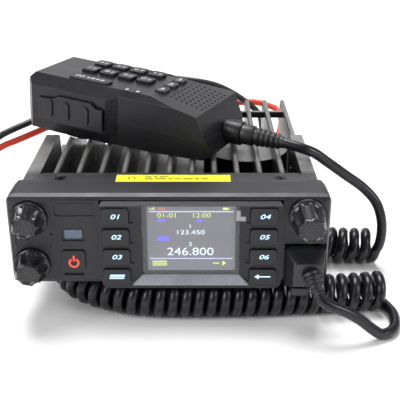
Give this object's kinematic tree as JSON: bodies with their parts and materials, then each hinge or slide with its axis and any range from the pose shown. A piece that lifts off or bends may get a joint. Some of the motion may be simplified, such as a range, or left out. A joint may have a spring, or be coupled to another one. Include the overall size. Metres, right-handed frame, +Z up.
{
  "type": "mobile transceiver",
  "caption": "Finned two-way radio for a vehicle with screen, keys and knobs, a keypad hand microphone lying on its heat sink, a curly cord and power leads.",
  "frame": {"origin": "middle of the flat underside of the bottom cover", "axes": "+Z up, +Y from the front panel towards the rear, +X to the right as seen from the front"},
  "size_m": [0.319, 0.2369, 0.1098],
  "materials": {
    "cast_black": "satin black paint on a die casting",
    "cover_black": "satin black paint on sheet",
    "screw_black": "black oxide",
    "bezel_black": "fine texture",
    "panel_black": "fine texture",
    "sill_grey": "grainy grey paint",
    "glass": "clear acrylic",
    "display_grey": "lit screen",
    "board_green": "solder resist",
    "window_blue": "frosted light window",
    "label_yellow": "printed sticker",
    "speaker_black": "moulded frame and cone",
    "nickel": "nickel plate",
    "jack_black": "moulded",
    "rubber_black": "moulded rubber",
    "wire_red": "soft wire jacket",
    "wire_black": "soft wire jacket",
    "connector_black": "moulded nylon",
    "plug_black": "moulded",
    "cord_black": "satin polyurethane jacket",
    "mic_black": "fine texture",
    "chrome": "bright chrome",
    "ptt_black": "fine texture",
    "pad_rubber": "silicone key",
    "key_rubber": "silicone key",
    "knob_black": "soft-touch"
  },
  "bodies": {
    "radio": {"chassis": "cast_black", "bottom_cover": "cover_black", "case_screws": "screw_black", "bezel": "bezel_black", "key_panel": "panel_black", "screen_sill": "sill_grey", "screen_glass": "glass", "display": "display_grey", "front_board": "board_green", "status_window": "window_blue", "heat_label": "label_yellow", "main_board": "board_green", "speaker": "speaker_black", "antenna_socket": "nickel", "speaker_jack": "jack_black", "lead_grommet": "rubber_black", "red_lead": "wire_red", "black_lead": "wire_black", "power_connector": "connector_black", "mic_socket": "jack_black", "mic_plug": "plug_black", "plug_boot": "rubber_black", "plug_lead": "cord_black", "coiled_cord": "cord_black", "mic_lead": "cord_black"},
    "key_left_1": {"key_left_1": "key_rubber"},
    "key_left_2": {"key_left_2": "key_rubber"},
    "key_left_3": {"key_left_3": "key_rubber"},
    "key_left_4": {"key_left_4": "key_rubber"},
    "key_right_1": {"key_right_1": "key_rubber"},
    "key_right_2": {"key_right_2": "key_rubber"},
    "key_right_3": {"key_right_3": "key_rubber"},
    "key_right_4": {"key_right_4": "key_rubber"},
    "power_key": {"power_key": "key_rubber"},
    "volume_knob": {"volume_knob": "knob_black"},
    "squelch_knob": {"squelch_knob": "knob_black"},
    "channel_knob": {"channel_knob": "knob_black"},
    "microphone": {"mic_front": "mic_black", "mic_back": "mic_black", "mic_boot": "rubber_black", "hang_button": "chrome"},
    "ptt_key": {"ptt_key": "ptt_black"},
    "end_key": {"end_key": "pad_rubber"},
    "wide_key": {"wide_key": "pad_rubber"},
    "oval_key_1": {"oval_key_1": "pad_rubber"},
    "oval_key_2": {"oval_key_2": "pad_rubber"},
    "oval_key_3": {"oval_key_3": "pad_rubber"},
    "oval_key_4": {"oval_key_4": "pad_rubber"},
    "pad_key_01": {"pad_key_01": "pad_rubber"},
    "pad_key_02": {"pad_key_02": "pad_rubber"},
    "pad_key_03": {"pad_key_03": "pad_rubber"},
    "pad_key_04": {"pad_key_04": "pad_rubber"},
    "pad_key_05": {"pad_key_05": "pad_rubber"},
    "pad_key_06": {"pad_key_06": "pad_rubber"},
    "pad_key_07": {"pad_key_07": "pad_rubber"},
    "pad_key_08": {"pad_key_08": "pad_rubber"},
    "pad_key_09": {"pad_key_09": "pad_rubber"},
    "pad_key_10": {"pad_key_10": "pad_rubber"},
    "pad_key_11": {"pad_key_11": "pad_rubber"},
    "pad_key_12": {"pad_key_12": "pad_rubber"}
  },
  "joints": [
    {"name": "key_left_1_press", "type": "slide", "parent": "radio", "child": "key_left_1", "axis": [0, 1, 0], "range_m": [0, 0.0008], "stiffness_N_per_m": 1500, "springref_m": -0.00024},
    {"name": "key_left_2_press", "type": "slide", "parent": "radio", "child": "key_left_2", "axis": [0, 1, 0], "range_m": [0, 0.0008], "stiffness_N_per_m": 1500, "springref_m": -0.00024},
    {"name": "key_left_3_press", "type": "slide", "parent": "radio", "child": "key_left_3", "axis": [0, 1, 0], "range_m": [0, 0.0008], "stiffness_N_per_m": 1500, "springref_m": -0.00024},
    {"name": "key_left_4_press", "type": "slide", "parent": "radio", "child": "key_left_4", "axis": [0, 1, 0], "range_m": [0, 0.0008], "stiffness_N_per_m": 1500, "springref_m": -0.00024},
    {"name": "key_right_1_press", "type": "slide", "parent": "radio", "child": "key_right_1", "axis": [0, 1, 0], "range_m": [0, 0.0008], "stiffness_N_per_m": 1500, "springref_m": -0.00024},
    {"name": "key_right_2_press", "type": "slide", "parent": "radio", "child": "key_right_2", "axis": [0, 1, 0], "range_m": [0, 0.0008], "stiffness_N_per_m": 1500, "springref_m": -0.00024},
    {"name": "key_right_3_press", "type": "slide", "parent": "radio", "child": "key_right_3", "axis": [0, 1, 0], "range_m": [0, 0.0008], "stiffness_N_per_m": 1500, "springref_m": -0.00024},
    {"name": "key_right_4_press", "type": "slide", "parent": "radio", "child": "key_right_4", "axis": [0, 1, 0], "range_m": [0, 0.0008], "stiffness_N_per_m": 1500, "springref_m": -0.00024},
    {"name": "power_key_press", "type": "slide", "parent": "radio", "child": "power_key", "axis": [0, 1, 0], "range_m": [0, 0.0008], "stiffness_N_per_m": 1500, "springref_m": -0.00024},
    {"name": "volume_knob_turn", "type": "hinge", "parent": "radio", "child": "volume_knob", "pos_m": [-0.0706, -0.088, 0.0362], "axis": [0, 1, 0], "range_deg": [-140, 140]},
    {"name": "squelch_knob_turn", "type": "hinge", "parent": "radio", "child": "squelch_knob", "pos_m": [-0.071, -0.088, 0.01], "axis": [0, 1, 0], "range_deg": [-140, 140]},
    {"name": "channel_knob_turn", "type": "hinge", "parent": "radio", "child": "channel_knob", "pos_m": [0.0698, -0.088, 0.038], "axis": [0, 1, 0], "continuous": true},
    {"name": "microphone_lift", "type": "slide", "parent": "radio", "child": "microphone", "axis": [0, 0, 1], "range_m": [0, 0.06]},
    {"name": "ptt_key_press", "type": "slide", "parent": "microphone", "child": "ptt_key", "axis": [0.4305, 0.9026, 0], "range_m": [0, 0.0012], "stiffness_N_per_m": 1500, "springref_m": -0.00036},
    {"name": "end_key_press", "type": "slide", "parent": "microphone", "child": "end_key", "axis": [0.9006, -0.4296, -0.0663], "range_m": [0, 0.0008], "stiffness_N_per_m": 1500, "springref_m": -0.00024},
    {"name": "wide_key_press", "type": "slide", "parent": "microphone", "child": "wide_key", "axis": [-0.0598, 0.0285, -0.9978], "range_m": [0, 0.0008], "stiffness_N_per_m": 1500, "springref_m": -0.00024},
    {"name": "oval_key_1_press", "type": "slide", "parent": "microphone", "child": "oval_key_1", "axis": [-0.0598, 0.0285, -0.9978], "range_m": [0, 0.0008], "stiffness_N_per_m": 1500, "springref_m": -0.00024},
    {"name": "oval_key_2_press", "type": "slide", "parent": "microphone", "child": "oval_key_2", "axis": [-0.0598, 0.0285, -0.9978], "range_m": [0, 0.0008], "stiffness_N_per_m": 1500, "springref_m": -0.00024},
    {"name": "oval_key_3_press", "type": "slide", "parent": "microphone", "child": "oval_key_3", "axis": [-0.0598, 0.0285, -0.9978], "range_m": [0, 0.0008], "stiffness_N_per_m": 1500, "springref_m": -0.00024},
    {"name": "oval_key_4_press", "type": "slide", "parent": "microphone", "child": "oval_key_4", "axis": [-0.2362, -0.3556, -0.9043], "range_m": [0, 0.0008], "stiffness_N_per_m": 1500, "springref_m": -0.00024},
    {"name": "pad_key_01_press", "type": "slide", "parent": "microphone", "child": "pad_key_01", "axis": [-0.0598, 0.0285, -0.9978], "range_m": [0, 0.0008], "stiffness_N_per_m": 1500, "springref_m": -0.00024},
    {"name": "pad_key_02_press", "type": "slide", "parent": "microphone", "child": "pad_key_02", "axis": [-0.0598, 0.0285, -0.9978], "range_m": [0, 0.0008], "stiffness_N_per_m": 1500, "springref_m": -0.00024},
    {"name": "pad_key_03_press", "type": "slide", "parent": "microphone", "child": "pad_key_03", "axis": [-0.0598, 0.0285, -0.9978], "range_m": [0, 0.0008], "stiffness_N_per_m": 1500, "springref_m": -0.00024},
    {"name": "pad_key_04_press", "type": "slide", "parent": "microphone", "child": "pad_key_04", "axis": [-0.0598, 0.0285, -0.9978], "range_m": [0, 0.0008], "stiffness_N_per_m": 1500, "springref_m": -0.00024},
    {"name": "pad_key_05_press", "type": "slide", "parent": "microphone", "child": "pad_key_05", "axis": [-0.0598, 0.0285, -0.9978], "range_m": [0, 0.0008], "stiffness_N_per_m": 1500, "springref_m": -0.00024},
    {"name": "pad_key_06_press", "type": "slide", "parent": "microphone", "child": "pad_key_06", "axis": [-0.0598, 0.0285, -0.9978], "range_m": [0, 0.0008], "stiffness_N_per_m": 1500, "springref_m": -0.00024},
    {"name": "pad_key_07_press", "type": "slide", "parent": "microphone", "child": "pad_key_07", "axis": [-0.0598, 0.0285, -0.9978], "range_m": [0, 0.0008], "stiffness_N_per_m": 1500, "springref_m": -0.00024},
    {"name": "pad_key_08_press", "type": "slide", "parent": "microphone", "child": "pad_key_08", "axis": [-0.0598, 0.0285, -0.9978], "range_m": [0, 0.0008], "stiffness_N_per_m": 1500, "springref_m": -0.00024},
    {"name": "pad_key_09_press", "type": "slide", "parent": "microphone", "child": "pad_key_09", "axis": [-0.2362, -0.3556, -0.9043], "range_m": [0, 0.0008], "stiffness_N_per_m": 1500, "springref_m": -0.00024},
    {"name": "pad_key_10_press", "type": "slide", "parent": "microphone", "child": "pad_key_10", "axis": [-0.2362, -0.3556, -0.9043], "range_m": [0, 0.0008], "stiffness_N_per_m": 1500, "springref_m": -0.00024},
    {"name": "pad_key_11_press", "type": "slide", "parent": "microphone", "child": "pad_key_11", "axis": [-0.2362, -0.3556, -0.9043], "range_m": [0, 0.0008], "stiffness_N_per_m": 1500, "springref_m": -0.00024},
    {"name": "pad_key_12_press", "type": "slide", "parent": "microphone", "child": "pad_key_12", "axis": [-0.2362, -0.3556, -0.9043], "range_m": [0, 0.0008], "stiffness_N_per_m": 1500, "springref_m": -0.00024}
  ]
}
